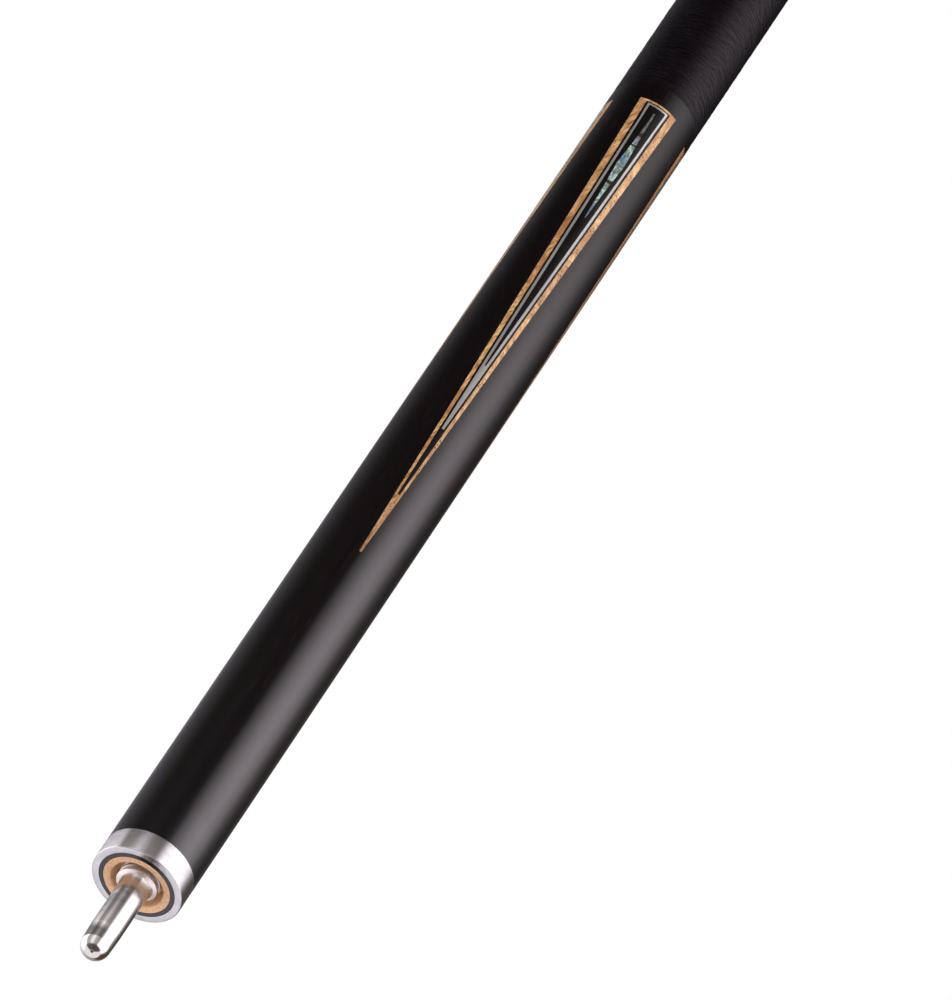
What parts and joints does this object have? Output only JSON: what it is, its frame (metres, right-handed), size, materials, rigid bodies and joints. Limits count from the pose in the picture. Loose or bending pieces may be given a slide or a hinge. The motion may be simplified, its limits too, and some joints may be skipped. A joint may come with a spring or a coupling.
{
  "type": "pool cue",
  "caption": "Two-piece pool cue: dark inlaid butt with a leather wrap and a steel joint pin, and a maple shaft that draws on and screws home.",
  "frame": {"origin": "centre of the bumper's flat end face, on the cue's axis", "axes": "+X along the cue from the bumper to the tip, +Z out of the crown of the first inlaid point, +Y by the right-hand rule"},
  "size_m": [1.5482, 0.0316, 0.0316],
  "materials": {
    "pin_steel": "polished",
    "collar_steel": "polished",
    "screw_steel": "satin",
    "black_phenolic": "gloss",
    "dark_wood": "clear gloss lacquer",
    "core_maple": "bare",
    "burl": "clear gloss lacquer",
    "ebony": "clear gloss lacquer",
    "silver": "satin under lacquer",
    "abalone": "iridescent shell under lacquer",
    "wrap_leather": "pressed, satin",
    "brass": "turned",
    "bumper_rubber": "matt",
    "shaft_maple": "burnished",
    "ferrule_white": "satin",
    "pad_fibre": "matt",
    "tip_leather": "chalked"
  },
  "bodies": {
    "butt": {"a_joint_stud": "screw_steel", "abalone_spear_1": "abalone", "abalone_spear_2": "abalone", "abalone_spear_3": "abalone", "abalone_spear_4": "abalone", "black_field_1": "ebony", "black_field_2": "ebony", "black_field_3": "ebony", "black_field_4": "ebony", "burl_point_1": "burl", "burl_point_2": "burl", "burl_point_3": "burl", "burl_point_4": "burl", "burl_ring_1": "burl", "burl_ring_2": "burl", "butt_bushing": "brass", "butt_cap": "black_phenolic", "butt_sleeve": "dark_wood", "ebony_panel_1": "ebony", "ebony_panel_2": "ebony", "ebony_panel_3": "ebony", "ebony_panel_4": "ebony", "forearm": "dark_wood", "forearm_core": "core_maple", "handle": "core_maple", "joint_collar": "collar_steel", "joint_pin": "pin_steel", "leather_wrap": "wrap_leather", "phenolic_collar": "black_phenolic", "silver_border_1": "silver", "silver_border_2": "silver", "silver_border_3": "silver", "silver_border_4": "silver", "silver_ring_1": "silver", "silver_ring_2": "silver", "silver_ring_3": "silver", "silver_ring_4": "silver", "weight_bolt": "screw_steel"},
    "shaft_ring": {"shaft_collar": "black_phenolic"},
    "shaft": {"shaft_insert": "brass", "shaft": "shaft_maple", "ferrule": "ferrule_white", "tip_pad": "pad_fibre", "cue_tip": "tip_leather"},
    "bumper": {"bumper": "bumper_rubber"},
    "bumper_screw": {"bumper_screw": "screw_steel"}
  },
  "joints": [
    {"name": "shaft_draw", "type": "slide", "parent": "butt", "child": "shaft_ring", "axis": [-1, 0, 0], "range_m": [0, 0.075]},
    {"name": "shaft_turn", "type": "hinge", "parent": "shaft_ring", "child": "shaft", "pos_m": [0.8116, 0, 0], "axis": [-1, 0, 0], "range_deg": [0, 1080]},
    {"name": "bumper_draw", "type": "slide", "parent": "butt", "child": "bumper", "axis": [-1, 0, 0], "range_m": [0, 0.00988]},
    {"name": "bumper_screw_turn", "type": "hinge", "parent": "bumper", "child": "bumper_screw", "pos_m": [0, 0, 0], "axis": [-1, 0, 0], "range_deg": [-1, 2521.5]}
  ],
  "couplings": [
    {"joint": "bumper_screw_turn", "follows": "bumper_draw", "rad_per_m": 4452.7}
  ]
}
